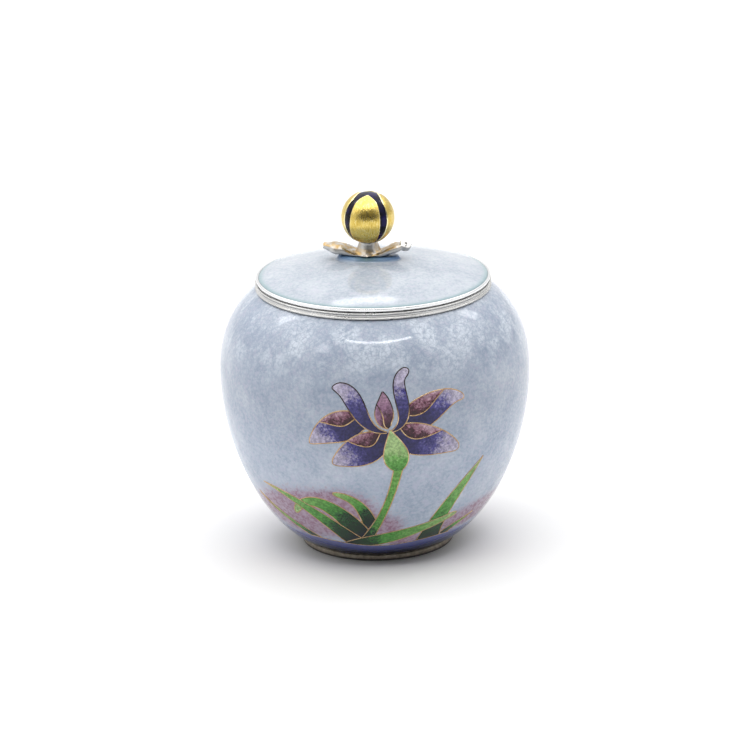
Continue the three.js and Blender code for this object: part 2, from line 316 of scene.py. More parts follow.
class Nodes:
    """A small builder for a node tree. What makes a node returns the output that is used."""

    def __init__(self, tree):
        self.tree = tree
        tree.nodes.clear()

    def feed(self, socket, value):
        """Links a socket to another one, or gives it a uniform value."""
        if isinstance(value, bpy.types.NodeSocket):
            self.tree.links.new(value, socket)
        else:
            socket.default_value = value

    def make(self, kind, inputs, output=0, **settings):
        made = self.tree.nodes.new(kind)
        for key, value in settings.items():
            setattr(made, key, value)
        for socket, value in inputs.items():
            self.feed(made.inputs[socket], value)
        return made.outputs[output]

    def math(self, operation, *values, clamp=False):
        inputs = dict(enumerate(values))
        return self.make("ShaderNodeMath", inputs, operation=operation, use_clamp=clamp)

    def plus(self, a, b):
        return self.math("ADD", a, b)

    def minus(self, a, b):
        return self.math("SUBTRACT", a, b)

    def times(self, a, b):
        return self.math("MULTIPLY", a, b)

    def spread(self, value, low, high, to_low=0.0, to_high=1.0):
        """The value eased from the range low to high onto the range to_low to to_high."""
        inputs = dict(enumerate((value, low, high, to_low, to_high)))
        return self.make("ShaderNodeMapRange", inputs, interpolation_type="SMOOTHSTEP")

    def part(self, vector, axis):
        return self.make("ShaderNodeSeparateXYZ", {0: vector}, axis)


class Shader(Nodes):
    """A builder for one material. Its sizes are in millimetres in the object's own space."""

    def __init__(self, name):
        self.material = bpy.data.materials.new(name)
        self.material.use_nodes = True
        super().__init__(self.material.node_tree)
        output = self.tree.nodes.new("ShaderNodeOutputMaterial")
        self.surface = self.tree.nodes.new("ShaderNodeBsdfPrincipled")
        self.feed(output.inputs["Surface"], self.surface.outputs[0])
        self.place = self.make("ShaderNodeTexCoord", {}, "Object")

    def set(self, **values):
        """Sets the surface's sockets, with underscores for spaces, and returns the material."""
        for key, value in values.items():
            self.feed(self.surface.inputs[key.replace("_", " ")], value)
        return self.material

    def attribute(self, name):
        return self.make("ShaderNodeAttribute", {}, "Fac", attribute_name=name)

    def noise(self, size, detail=2.0, roughness=0.5, stretch=(1, 1, 1)):
        """Noise from 0 to 1 whose blotches are about size across."""
        place = self.make("ShaderNodeMapping", {"Vector": self.place, "Scale": stretch})
        inputs = {"Vector": place, "Scale": 1 / (size * MM), "Detail": detail, "Roughness": roughness}
        return self.make("ShaderNodeTexNoise", inputs, "Fac")

    def cells(self, size, feature="F1"):
        inputs = {"Vector": self.place, "Scale": 1 / (size * MM)}
        return self.make("ShaderNodeTexVoronoi", inputs, "Distance", feature=feature)

    def swing(self, noise, width):
        """Noise that swings about 0 instead of 0.5, and width times as far."""
        return self.times(self.minus(noise, 0.5), width)

    def average(self, a, b):
        return self.plus(self.times(a, 0.5), self.times(b, 0.5))

    def height(self):
        return self.times(self.part(self.place, "Z"), 1 / MM)

    def mix(self, share, a, b):
        return self.make("ShaderNodeMix", {0: share, 6: a, 7: b}, 2, data_type="RGBA")

    def ramp(self, share, stops):
        """A colour from stops of a place and 0-255 display values."""
        colour = self.make("ShaderNodeValToRGB", {0: share})
        elements = colour.node.color_ramp.elements
        while len(elements) < len(stops):
            elements.new(0.5)
        for element, (place, *rgb) in zip(elements, stops):
            element.position = place
            element.color = srgb(*rgb)
        return colour

    def scaled(self, colour, factor):
        return self.make("ShaderNodeVectorMath", {0: colour, "Scale": factor}, operation="SCALE")

    def bump(self, relief, depth):
        """The normal of a relief from 0 to 1 that is depth deep."""
        return self.make("ShaderNodeBump", {"Height": relief, "Distance": depth * MM})


GLASS_IOR = 1.42
LID_IOR = 1.33
NAVY_IOR = 1.25
ENAMEL_ROUGHNESS = 0.07
PEEL_SIZE = 3.5  # the waviness of the fired glass, and how deep it is
PEEL_DEPTH = 0.007


def glass_finish(shader, colour, ior=GLASS_IOR):
    """Fired glass over the colour: glossy, with a slight orange peel."""
    peel = shader.bump(shader.noise(PEEL_SIZE, roughness=0.45), PEEL_DEPTH)
    return shader.set(Base_Color=colour, Roughness=ENAMEL_ROUGHNESS, IOR=ior, Normal=peel)


def mottled(shader, deep, middle, pale, blush):
    """The enamel ground: soft clouds, granules that stray to the blush, and fine pale specks."""
    clouds = shader.noise(11.0, detail=3.0, roughness=0.6)
    grains = shader.noise(1.0, detail=3.0, roughness=0.7)
    tone = shader.average(clouds, grains)
    colour = shader.ramp(tone, [(0.34, *deep), (0.5, *middle), (0.66, *pale)])
    stray = shader.spread(shader.noise(1.6, roughness=0.6), 0.5, 0.66)
    colour = shader.mix(shader.times(stray, 0.55), colour, srgb(*blush))
    specks = shader.spread(shader.cells(0.8), 0.3, 0.1)
    chance = shader.spread(shader.noise(2.4, detail=1.0), 0.5, 0.64)
    return shader.mix(shader.times(shader.times(specks, chance), 0.5), colour, srgb(*pale))


def snowy(shader, ground):
    """Snowy drifts on the shoulder, crossed by faint cell lines."""
    shoulder = shader.spread(shader.height(), 60, 78)
    drift = shader.spread(shader.noise(9.0, detail=4.0, roughness=0.6), 0.42, 0.62)
    flecks = shader.spread(shader.noise(1.3, roughness=0.7), 0.36, 0.6, 0.25, 1.0)
    snow = shader.times(shader.times(drift, shoulder), flecks)
    ground = shader.mix(snow, ground, srgb(186, 194, 205))
    lines = shader.spread(shader.cells(1.7, feature="DISTANCE_TO_EDGE"), 0.1, 0.02, 0.0, 0.4)
    return shader.mix(shader.times(lines, shoulder), ground, srgb(128, 141, 160))


def hazy(shader, ground, grains):
    """The mauve haze round the leaves, broken up by grains."""
    haze = shader.attribute("haze")
    broken = shader.spread(shader.plus(haze, shader.swing(grains, 1.15)), 0.12, 0.8)
    broken = shader.times(broken, shader.spread(haze, 0.02, 0.2))
    tint = shader.spread(shader.noise(1.4, detail=3.0, roughness=0.7), 0.35, 0.65)
    mauve = shader.mix(tint, srgb(134, 102, 122), srgb(160, 144, 162))
    return shader.mix(broken, ground, mauve)


def band_with_painted_shade(shader, ground, grains):
    """The band below the hoop: periwinkle enamel that darkens to navy, with painted shade taking it to
    near black at the foot.
    """
    # The last stops are painted shade, darkest where the wall turns under towards the table.
    stops = [(0.0, 96, 100, 148), (0.3, 64, 69, 120), (0.6, 16, 22, 58), (1.0, 3, 6, 20)]
    below = shader.plus(shader.attribute("below"), shader.swing(grains, 0.12))
    return shader.mix(shader.attribute("band"), ground, shader.ramp(below, stops))


def body_enamel():
    shader = Shader("body_enamel")
    ground = mottled(shader, (129, 142, 160), (149, 159, 175), (171, 178, 189), (161, 163, 181))
    # Painted bounce light: the ground is lightened, up to 1.22 times, from 62 mm down to 34 mm and
    # below.
    ground = shader.scaled(ground, shader.spread(shader.height(), 62, 34, 1.0, 1.22))
    grains = shader.noise(1.0, detail=3.0, roughness=0.75)
    ground = hazy(shader, snowy(shader, ground), grains)
    return glass_finish(shader, band_with_painted_shade(shader, ground, grains))


def lid_enamel():
    shader = Shader("lid_enamel")
    ground = mottled(shader, (140, 149, 161), (158, 166, 176), (178, 183, 190), (170, 171, 184))
    edge = shader.mix(shader.noise(1.5), srgb(122, 144, 150), srgb(146, 164, 170))
    return glass_finish(shader, shader.mix(shader.attribute("edge"), ground, edge), LID_IOR)


def plain_enamel(name, *tints):
    shader = Shader(name)
    return glass_finish(shader, mottled(shader, *tints))


def pad_enamel():
    """Blue at both ends and greener under the branch, paler where it meets the lid."""
    stops = [(0.0, 70, 108, 158), (0.28, 88, 122, 158), (0.5, 64, 98, 98),
             (0.72, 80, 114, 150), (1.0, 70, 108, 158)]
    shader = Shader("pad_enamel")
    colour = shader.ramp(shader.attribute("along"), stops)
    colour = shader.mix(shader.times(shader.noise(0.9), 0.4), colour, srgb(140, 160, 178))
    colour = shader.mix(shader.attribute("foot"), colour, srgb(146, 160, 178))
    return glass_finish(shader, colour)


def navy_enamel():
    shader = Shader("navy_enamel")
    pool = shader.spread(shader.noise(4.0, detail=1.0), 0.42, 0.62)
    return glass_finish(shader, shader.mix(pool, srgb(3, 2, 16), srgb(17, 12, 64)), NAVY_IOR)


def cell_enamel(name, stops, break_up):
    """Shaded enamel in one cell: stops run from its base to its tip, and grains break them up."""
    shader = Shader(name)
    grains = shader.noise(0.8, detail=3.0, roughness=0.75)
    clouds = shader.noise(3.0)
    wander = shader.plus(shader.swing(grains, 1.5 * break_up), shader.swing(clouds, break_up))
    place = shader.math("ADD", shader.attribute("along"), wander, clamp=True)
    dapple = shader.spread(shader.noise(0.9, roughness=0.6), 0.36, 0.66, 0.74, 1.28)
    return glass_finish(shader, shader.scaled(shader.ramp(place, stops), dapple))


def metal(shader, colour, tone, duller, glossier, metallic=1.0, **more):
    """Metal whose roughness follows its tone."""
    rough = shader.spread(tone, 0.2, 0.8, duller, glossier)
    return shader.set(Base_Color=colour, Metallic=metallic, Roughness=rough, **more)


def silver(name, tint, roughness, worked=None, painted_gold_reflection=None):
    """Bright metal, worked to a depth where that is given, and with a painted reflection of the gold
    ball in the given colour where that is given.
    """
    shader = Shader(name)
    dull = srgb(*tint)
    bright = tuple(min(1.0, share * 1.12) for share in dull)
    colour = shader.mix(shader.noise(4.0, detail=1.0), dull, bright)
    if painted_gold_reflection:
        # Painted reflection of the gold ball, in patches, where the piece marks it.
        patches = shader.spread(shader.noise(1.8, detail=3.0, roughness=0.6), 0.3, 0.62)
        colour = shader.mix(shader.times(shader.attribute("painted_gold_reflection"), patches), colour, srgb(*painted_gold_reflection))
    if worked:
        shader.set(Normal=shader.bump(shader.noise(1.5), worked))
    return metal(shader, colour, shader.noise(3.0, detail=1.0), roughness * 0.8, roughness * 1.3)


def brushed_gold():
    """Gilt plate with fine upright scratches, and tone and gloss following them."""
    stops = [(0.32, 184, 152, 62), (0.5, 213, 188, 100), (0.68, 230, 213, 150)]
    shader = Shader("brushed_gold")
    scratches = shader.noise(0.15, detail=3.0, roughness=0.8, stretch=(1.0, 1.0, 0.1))
    wide = shader.noise(0.45, roughness=0.6, stretch=(1.0, 1.0, 0.16))
    tone = shader.average(scratches, wide)
    rough = shader.spread(tone, 0.35, 0.65, 0.34, 0.2)
    return shader.set(Base_Color=shader.ramp(tone, stops), Metallic=1.0, Roughness=rough,
                      Normal=shader.bump(tone, 0.085))


def polished_gold():
    shader = Shader("polished_gold")
    tone = shader.noise(0.8)
    return metal(shader, shader.mix(tone, srgb(236, 222, 160), srgb(248, 240, 204)), tone, 0.16, 0.26)


def wire_gold():
    stops = [(0.3, 150, 116, 82), (0.5, 178, 148, 110), (0.75, 208, 184, 150)]
    shader = Shader("wire_gold")
    tone = shader.noise(1.6, detail=3.0, roughness=0.6)
    # Painted dark reflection on the marked wires.
    colour = shader.mix(shader.attribute("painted_dark_reflection"), shader.ramp(tone, stops), srgb(66, 58, 52))
    return metal(shader, colour, tone, 0.36, 0.22)


def bare_bronze():
    """Worn metal, with painted shade that darkens it where it meets the table."""
    stops = [(0.25, 116, 108, 98), (0.5, 154, 144, 130), (0.8, 188, 178, 164)]
    shader = Shader("bare_bronze")
    tone = shader.noise(1.4, detail=4.0, roughness=0.65)
    # Painted shade: darker over the lowest millimetre, where the foot meets the table.
    painted_dark = shader.spread(shader.height(), 0.95, 0.3)
    colour = shader.mix(painted_dark, shader.ramp(tone, stops), srgb(64, 61, 60))
    return metal(shader, colour, tone, 0.6, 0.4, metallic=0.6, Normal=shader.bump(tone, 0.05))


MATERIALS = {
    "body": body_enamel(),
    "lid": lid_enamel(),
    "pad": pad_enamel(),
    "inner": plain_enamel("inner_enamel", (118, 136, 156), (136, 152, 170), (160, 172, 186),
                          (150, 158, 178)),
    "base": plain_enamel("base_enamel", (24, 28, 58), (36, 42, 78), (52, 60, 100), (44, 44, 90)),
    "navy": navy_enamel(),
    "rim": silver("silver", (216, 217, 219), 0.13),
    "collar": silver("collar_silver", (188, 188, 187), 0.28),
    # The branch: a painted reflection of the gold ball tints its upward faces.
    "twig": silver("cast_silver", (184, 183, 181), 0.38, worked=0.12, painted_gold_reflection=(174, 146, 96)),
    "gold": brushed_gold(),
    "gold_edge": polished_gold(),
    "wire": wire_gold(),
    "bronze": bare_bronze(),
}

# How far grains break up the colours of each kind of cell, and its stops.
CELLS = {
    "petal": (0.42, [(0.0, 24, 21, 58), (0.38, 38, 35, 86), (0.56, 68, 64, 124),
                     (0.74, 152, 146, 170), (1.0, 170, 165, 183)]),
    "lip": (0.7, [(0.0, 28, 8, 18), (0.44, 60, 22, 38), (0.6, 122, 80, 98), (1.0, 178, 152, 166)]),
    "bud": (0.36, [(0.0, 42, 16, 28), (0.34, 72, 38, 56), (0.56, 122, 88, 114), (1.0, 150, 118, 140)]),
    "calyx": (0.5, [(0.0, 64, 124, 46), (0.26, 92, 150, 70), (0.5, 144, 174, 114),
                    (1.0, 152, 178, 124)]),
    "stem": (0.35, [(0.0, 4, 26, 26), (0.16, 14, 60, 30), (0.34, 78, 134, 56), (1.0, 98, 150, 70)]),
    "leaf": (0.28, [(0.0, 0, 14, 34), (0.1, 2, 28, 16), (0.3, 14, 60, 26), (0.46, 68, 132, 52),
                    (0.8, 108, 154, 80), (1.0, 142, 168, 110)]),
}
for kind, (break_up, stops) in CELLS.items():
    MATERIALS[kind] = cell_enamel(kind + "_enamel", stops, break_up)


# ---- the jar

JAR_SEGMENTS = 288
FOOT_SEGMENTS = 160
FOOT_ROUNDING = 0.35
METAL_SEGMENTS = 240  # round the collar and the lid
HOOP_FRONT = 10.0  # how far up the wall the hoop lies at the front
HOOP_SIDE = 13.0
HOOP_SPREAD = 23.6  # millimetres round the belly over which it rises
HOOP_LEFT = -34.0
HOOP_RIGHT = 36.0
BAND_SHARP = 0.25  # how softly the band ends at the hoop, and past the hoop's ends
BAND_SOFT = 2.5


def hoop_up(across):
    """How far up the wall the hoop lies: lowest at the front."""
    dip = np.exp(-(np.asarray(across, float) / HOOP_SPREAD) ** 2)
    return HOOP_SIDE - (HOOP_SIDE - HOOP_FRONT) * dip


# The haze's soft blotches: across, up, half width, half height, strength.
HAZE = [
    (-44, 25, 10, 6, 0.9), (-30, 27, 10, 7, 1.1), (-16, 30, 10, 6, 1.1), (-7, 28, 7, 6, 0.7),
    (-20, 20, 12, 6, 0.8), (-38, 16, 14, 5, 0.6), (4, 20, 7, 6, 1.0), (12, 13, 14, 3, 1.0),
    (36, 18, 9, 4.5, 1.0), (48, 20, 10, 5, 0.9), (62, 20, 14, 6, 0.7), (100, 20, 20, 6, 0.6),
    (150, 20, 24, 6, 0.6), (205, 20, 26, 6, 0.6), (-62, 21, 14, 6, 0.7),
]


def haze_at(across, up):
    total = np.zeros_like(across)
    for centre, level, width, height, strength in HAZE:
        away = np.abs(across - centre)
        away = np.minimum(away, TAU * BELLY_RADIUS - away)
        total += strength * np.exp(-((away / width) ** 2) - ((up - level) / height) ** 2)
    return np.clip(total, 0, 1)


def jar_profile():
    """The jar's section from the middle of its base, up the outside and back to its floor."""
    outer = list(zip(*wall_profile(np.linspace(0, WALL_LENGTH, 120))))
    inner = zip(*wall_profile(np.linspace(0, WALL_LENGTH, 48), -WALL))
    inner = [(min(r, MOUTH_INNER_RADIUS) if z > COLLAR_FOOT - 1 else r, min(z, COLLAR_FOOT))
             for r, z in inner]
    floor_radius, floor_edge = inner[0]
    floor_height = FOOT_HEIGHT + BASE_RISE + WALL
    lip = COLLAR_TOP - COLLAR_CAP
    mouth = [(NECK_RADIUS, COLLAR_FOOT), (NECK_RADIUS, lip), (MOUTH_INNER_RADIUS, lip),
             (MOUTH_INNER_RADIUS, COLLAR_FOOT)]
    shares = np.linspace(0, 1, 12)
    base = [(FOOT_INNER_RADIUS * t, FOOT_HEIGHT + BASE_RISE * (1 - t * t)) for t in shares]
    floor = [(floor_radius * t, floor_height + (floor_edge - floor_height) * t * t)
             for t in shares[:-1]]
    return base + outer + mouth + inner[::-1] + floor[::-1]


def jar_shell():
    verts, faces = turned(jar_profile(), JAR_SEGMENTS)
    piece = make_object("jar_shell", verts, faces, "body")
    piece.data.materials.append(MATERIALS["inner"])
    piece.data.materials.append(MATERIALS["base"])
    spots = np.array(verts)
    across = np.arctan2(spots[:, 0], -spots[:, 1]) * BELLY_RADIUS
    up = np.interp(spots[:, 2], WALL_Z, ARC)
    hoop = hoop_up(across)
    soft = np.where((across > HOOP_LEFT) & (across < HOOP_RIGHT), BAND_SHARP, BAND_SOFT)
    set_attribute(piece, "haze", haze_at(across, up))
    set_attribute(piece, "band", smoothstep(-(up - hoop) / soft, -0.5, 0.5))
    # How far below the hoop: this drives the band's darkening, which is partly painted shade.
    set_attribute(piece, "below", np.clip((hoop - up) / hoop, 0, 1))
    for polygon in piece.data.polygons:
        centre = polygon.center
        radius = math.hypot(centre.x, centre.y) / MM
        faces_in = polygon.normal.dot(Vector((centre.x, centre.y, 0))) < 0
        if radius < FOOT_INNER_RADIUS and centre.z / MM < FOOT_HEIGHT + BASE_RISE + 0.1:
            polygon.material_index = 2
        elif radius < FOOT_INNER_RADIUS or faces_in:
            polygon.material_index = 1
    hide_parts("jar_body")


def foot_ring():
    corners = [(FOOT_INNER_RADIUS, 0.0), (FOOT_RADIUS, 0.0), (FOOT_RADIUS, FOOT_HEIGHT),
               (FOOT_INNER_RADIUS, FOOT_HEIGHT)]
    piece = turned_piece("foot_ring_bare", rounded(corners, FOOT_ROUNDING), FOOT_SEGMENTS,
                         "bronze", closed=True)
    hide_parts("foot_ring")


def mouth_collar():
    """A flat band between two fine beads, over a thin recess at the foot."""
    bead = COLLAR_BEAD / 2
    recess = COLLAR_RADIUS - COLLAR_RECESS
    beads_foot = COLLAR_FOOT + COLLAR_GAP
    cap = COLLAR_TOP - COLLAR_CAP
    profile = [(NECK_RADIUS, COLLAR_FOOT), (recess, COLLAR_FOOT), (recess, beads_foot)]
    for middle in (beads_foot + bead, COLLAR_TOP - bead):
        for angle in np.linspace(-math.pi / 2, math.pi / 2, 9):
            out = COLLAR_RADIUS - bead * (1 - math.cos(angle))
            profile.append((out, middle + bead * math.sin(angle)))
    profile += [(MOUTH_INNER_RADIUS, COLLAR_TOP), (MOUTH_INNER_RADIUS, cap), (NECK_RADIUS, cap)]
    piece = turned_piece("mouth_collar_beads", profile, METAL_SEGMENTS, "collar", closed=True)
    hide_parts("mouth_collar")


# ---- the lid

RIM_FOOT = 87.42  # the ring's underside, above a thin dark gap
RIM_ROUNDING = 0.45
GAP_RADIUS = 36.7
GAP_FOOT = COLLAR_TOP + 0.02
EDGE_TINT = (1.7, 0.5)  # from the dome's edge, where its greener tint starts and is full


def lid_rim():
    skirt_inner = SKIRT_RADIUS - SKIRT_THICKNESS
    corners = [(skirt_inner, SKIRT_FOOT), (SKIRT_RADIUS, SKIRT_FOOT), (SKIRT_RADIUS, GAP_FOOT),
               (GAP_RADIUS, GAP_FOOT), (GAP_RADIUS, RIM_FOOT), (RIM_RADIUS, RIM_FOOT),
               (RIM_RADIUS, RIM_TOP), (DOME_RADIUS, RIM_TOP), (DOME_RADIUS, RIM_SEAT),
               (skirt_inner, RIM_SEAT)]
    profile = rounded(corners, RIM_ROUNDING, steps=7)
    piece = turned_piece("lid_rim_ring", profile, METAL_SEGMENTS, "rim", closed=True)
    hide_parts("lid_rim")


def dome_height(radius):
    return DOME_TOP + (DOME_EDGE - 0.1 - DOME_TOP) * (radius / DOME_RADIUS) ** 2


def lid_dome():
    under = SKIRT_RADIUS - SKIRT_THICKNESS
    under_top = DOME_TOP - DOME_THICKNESS
    bottom = [(under * t, under_top + (RIM_SEAT - under_top) * t * t) for t in np.linspace(0, 1, 16)]
    top = [(DOME_RADIUS * t, dome_height(DOME_RADIUS * t)) for t in np.linspace(1, 0, 60)]
    verts, faces = turned(bottom + [(DOME_RADIUS, RIM_SEAT)] + top, METAL_SEGMENTS)
    piece = make_object("lid_dome_enamel", verts, faces, "lid")
    radius = np.hypot(*np.array(verts)[:, :2].T)
    start, full = (DOME_RADIUS - inset for inset in EDGE_TINT)
    set_attribute(piece, "edge", smoothstep(radius, start, full))
    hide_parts("lid_dome")


# ---- the inlaid flower

class Shape:
    """A petal, leaf or stem drawn about a curved midline, in wall coordinates.

    Its name starts with its kind. spine is the midline's cubic curve from base to tip. widths
    are the four controls of the half width's own cubic along it, and from the share blunt
    onwards the outline rounds off to the tip. A lip is a turned-back edge: (side, start, end,
    depth). Above 1, fade draws the base's colour further out, and tilt draws it out along the
    right edge.
    """

    def __init__(self, name, spine, widths, blunt=1.0, lip=None, fade=1.0, tilt=0.0):
        self.name = name
        self.kind = name.split("_")[0]
        self.spine = spine
        self.widths = [[width] for width in widths]
        self.blunt = blunt
        self.lip = lip
        self.fade = fade
        self.tilt = tilt
        length = distances(bezier(spine, np.linspace(0, 1, 30)))[-1]
        self.rows = max(18, int(length / ROW_LENGTH))

    def half_width(self, t):
        rounding = np.clip((t - self.blunt) / max(1e-6, 1 - self.blunt), 0, 1)
        return bezier(self.widths, t)[:, 0] * np.sqrt(1 - rounding ** 2)

    def spot(self, t, side):
        """The points at t along the midline, side of the way from it to the right edge."""
        ahead, behind = (bezier(self.spine, np.clip(t + step, 0, 1)) for step in (1e-3, -1e-3))
        along = unit(ahead - behind)
        normal = np.stack([along[:, 1], -along[:, 0]], axis=1)
        spots = bezier(self.spine, t) + normal * (self.half_width(t) * side)[:, None]
        spots[:, 1] = np.maximum(spots[:, 1], hoop_up(spots[:, 0]))
        return spots

    def stations(self):
        """Parameters from base to tip, closer together towards the tip."""
        return 1 - (1 - np.linspace(0, 1, self.rows)) ** 1.7

    def shade(self, t, sides):
        """How far along its colours each point lies, row by row."""
        return (t[:, None] ** self.fade - self.tilt * sides[None, :] * t[:, None]).reshape(-1)

    def edge(self, side):
        return self.spot(self.stations(), side)

    def outline(self):
        return np.vstack([self.edge(-1), self.edge(1)[::-1]])

    def lip_shares(self):
        start, end = self.lip[1:3]
        return np.linspace(0, 1, max(16, int(self.rows * (end - start))))

    def lip_spots(self, share, depth_share):
        """Points at a share along the lip, and depth_share from its outer to its inner edge."""
        side, start, end, depth = self.lip
        reach = 2 * depth * np.sin(np.clip(share, 0, 1) * math.pi) ** 0.8 * depth_share
        return self.spot(start + (end - start) * share, side * (1 - reach))


ROW_LENGTH = 0.45
# In the order that they lie over each other, the lowest first.
SHAPES = [
    Shape("leaf_far_left", [(-27.5, 9.5), (-33, 14.5), (-43, 20.0), (-55.5, 27.6)],
          (2.2, 1.6, 1.1, 0.1)),
    Shape("leaf_short", [(-2.5, 20.5), (-5.2, 29.5), (-7.5, 33.6), (-16.1, 34.9)],
          (2.9, 2.7, 1.2, 1.0), 0.86),
    Shape("leaf_curled", [(-6.2, 13.4), (-13, 28.5), (-25.5, 37.0), (-35, 23.8)],
          (4.9, 4.0, 1.0, 1.5), 0.9),
    Shape("leaf_long_left", [(-9.5, 11.0), (-19.0, 20.0), (-28, 31.5), (-47.5, 33.7)],
          (4.2, 2.9, 1.7, 0.0)),
    Shape("stem", [(-5.4, 13.4), (1.3, 23.5), (5.0, 32), (7.4, 46.5)],
          (2.3, 1.25, 1.0, 1.6)),
    Shape("leaf_small_right", [(31.6, 12.4), (34.5, 15.6), (39, 17.0), (45.6, 20.1)],
          (1.9, 1.5, 1.0, 0.0)),
    Shape("leaf_tall_right", [(24.9, 8.5), (22.9, 20), (28.5, 31), (39.6, 44)],
          (7.2, 2.6, 3.3, 0.0)),
    Shape("leaf_low", [(-15.8, 11.2), (-3, 12.0), (14, 16.8), (34.2, 22.8)],
          (0.2, 5.4, 1.7, 1.1), 0.95),
    Shape("petal_back_left", [(-3.2, 60.4), (-8, 61.5), (-15, 59.5), (-21.9, 53.2)],
          (1.2, 6.9, 6.0, 0.5), 0.96, lip=(1, 0.12, 0.72, 0.5), fade=1.5),
    Shape("petal_back_right", [(8.5, 61.0), (11.2, 59.6), (22.0, 70.6), (29.4, 66.4)],
          (1.5, 8.2, 4.0, 0.7), 0.96, lip=(-1, 0.1, 0.74, 0.5), fade=1.3, tilt=0.16),
    Shape("petal_low_left", [(4.2, 57.6), (0.6, 53.5), (-6.9, 51.3), (-14.6, 46.6)],
          (0.3, 7.2, 6.8, 0.7), 0.96, lip=(1, 0.1, 0.66, 0.5), fade=1.5),
    Shape("petal_low_right", [(4.9, 58.4), (6.3, 55.2), (21.0, 54.3), (27.9, 49.4)],
          (0.4, 8.4, 5.4, 1.0), 0.95, lip=(-1, 0.12, 0.7, 0.5), fade=1.35),
    Shape("petal_high_left", [(3.4, 57.9), (-7.2, 59), (-4.6, 73.6), (-13.9, 72.2)],
          (0.2, 2.2, 4.4, 1.0), 0.9, tilt=0.1),
    Shape("petal_high_right", [(4.8, 58.0), (14.6, 62.8), (2.0, 74.8), (11.1, 77.7)],
          (0.2, 2.8, 2.0, 1.3), 0.93, fade=0.86),
    Shape("bud", [(4.3, 59.6), (1.5, 62), (3.2, 67.5), (2.2, 71.3)],
          (0.6, 4.6, 2.8, 0.1), lip=(-1, 0.0, 0.68, 0.42)),
    Shape("calyx", [(7.2, 44.2), (6.6, 48.6), (5.5, 53.9), (4.4, 58.8)],
          (1.5, 6.9, 2.6, 0.08)),
]

SLAB = 0.3  # how thick each cell's enamel is
CELL_TOP = 0.012  # how far the lowest cell's top stands off the ground
LAYER_STEP = 0.004
CELL_SIDES = np.linspace(-1, 1, 13)
LIP_DEPTHS = np.linspace(0, 1, 7)
WIRE_HALF_WIDTH = 0.2
WIRE_HALF_DEPTH = 0.15
WIRE_TOP = 0.125  # how far a wire's top stands off the ground
WIRE_SIDES = 10
WIRE_STEP = 0.4
HOOP_WIRE = 0.6  # how wide the hoop is beside the other wires
# The wires of these cells get a painted dark reflection high on the wall, where they face the dark
# room in front.
DARK_REFLECTING_SHAPES = ("petal_high_left", "petal_high_right", "bud")
DARK_REFLECTION_UP = (62.5, 66.5)  # a painted dark reflection on their wires starts here, and is full from there on


def cell_piece(name, grid, along, layer, kind):
    """One cell's enamel: a closed slab under a grid of wall coordinates."""
    rows, columns = grid.shape[:2]
    across, up = grid.reshape(-1, 2).T
    out = CELL_TOP + layer * LAYER_STEP
    verts = np.vstack([on_wall(across, up, out), on_wall(across, up, out - SLAB)])
    piece = make_object(name, verts, sheet_faces(rows, columns), kind)
    set_attribute(piece, "along", np.concatenate([along, along]))
    tidy(piece)


def tidy(piece):
    """Merges the doubled points at pointed ends and turns every face outwards."""
    work = bmesh.new()
    work.from_mesh(piece.data)
    bmesh.ops.remove_doubles(work, verts=work.verts, dist=2e-6)
    bmesh.ops.dissolve_degenerate(work, edges=work.edges, dist=1e-7)
    bmesh.ops.recalc_face_normals(work, faces=work.faces)
    work.to_mesh(piece.data)
    work.free()
    make_smooth(piece.data)


def inside(points, outline):
    """Whether each point lies in the closed outline."""
    x, y = points.T
    hit = np.zeros(len(points), bool)
    for (x1, y1), (x2, y2) in zip(outline, np.roll(outline, -1, axis=0)):
        crosses = (y1 > y) != (y2 > y)
        with np.errstate(divide="ignore", invalid="ignore"):
            hit ^= crosses & (x < (x2 - x1) * (y - y1) / (y2 - y1) + x1)
    return hit


def resample(line, step):
    """A line's points, evenly spaced at about the step."""
    lengths = distances(line)
    places = np.linspace(0, lengths[-1], max(2, int(lengths[-1] / step) + 1))
    return np.stack([np.interp(places, lengths, part) for part in line.T], axis=1)


def visible_runs(line, layer):
    """The stretches of a wire that no shape above it covers, and that lie above the hoop."""
    line = resample(line, WIRE_STEP)
    keep = line[:, 1] > hoop_up(line[:, 0]) + 0.02
    for above in SHAPES[layer + 1:]:
        keep &= ~inside(line, above.outline())
    cuts = np.flatnonzero(np.diff(keep)) + 1
    runs = [run for run, shown in zip(np.split(line, cuts), np.split(keep, cuts)) if shown[0]]
    return [run for run in runs if len(run) > 4]


def wire_tube(line, half_width, verts, faces):
    """Adds a closed flattened tube along wall coordinates, sunk so that only its top shows."""
    across, up = line.T
    level = WIRE_TOP - WIRE_HALF_DEPTH
    centre = on_wall(across, up, level)
    out = unit(on_wall(across, up, level + 1.0) - centre)
    aside = np.cross(unit(np.gradient(centre, axis=0)), out)
    faces += tube_faces(len(verts), len(line), WIRE_SIDES)
    for i in range(len(line)):
        for wide, deep in circle(WIRE_SIDES):
            verts.append(centre[i] + half_width * wide * aside[i] + WIRE_HALF_DEPTH * deep * out[i])


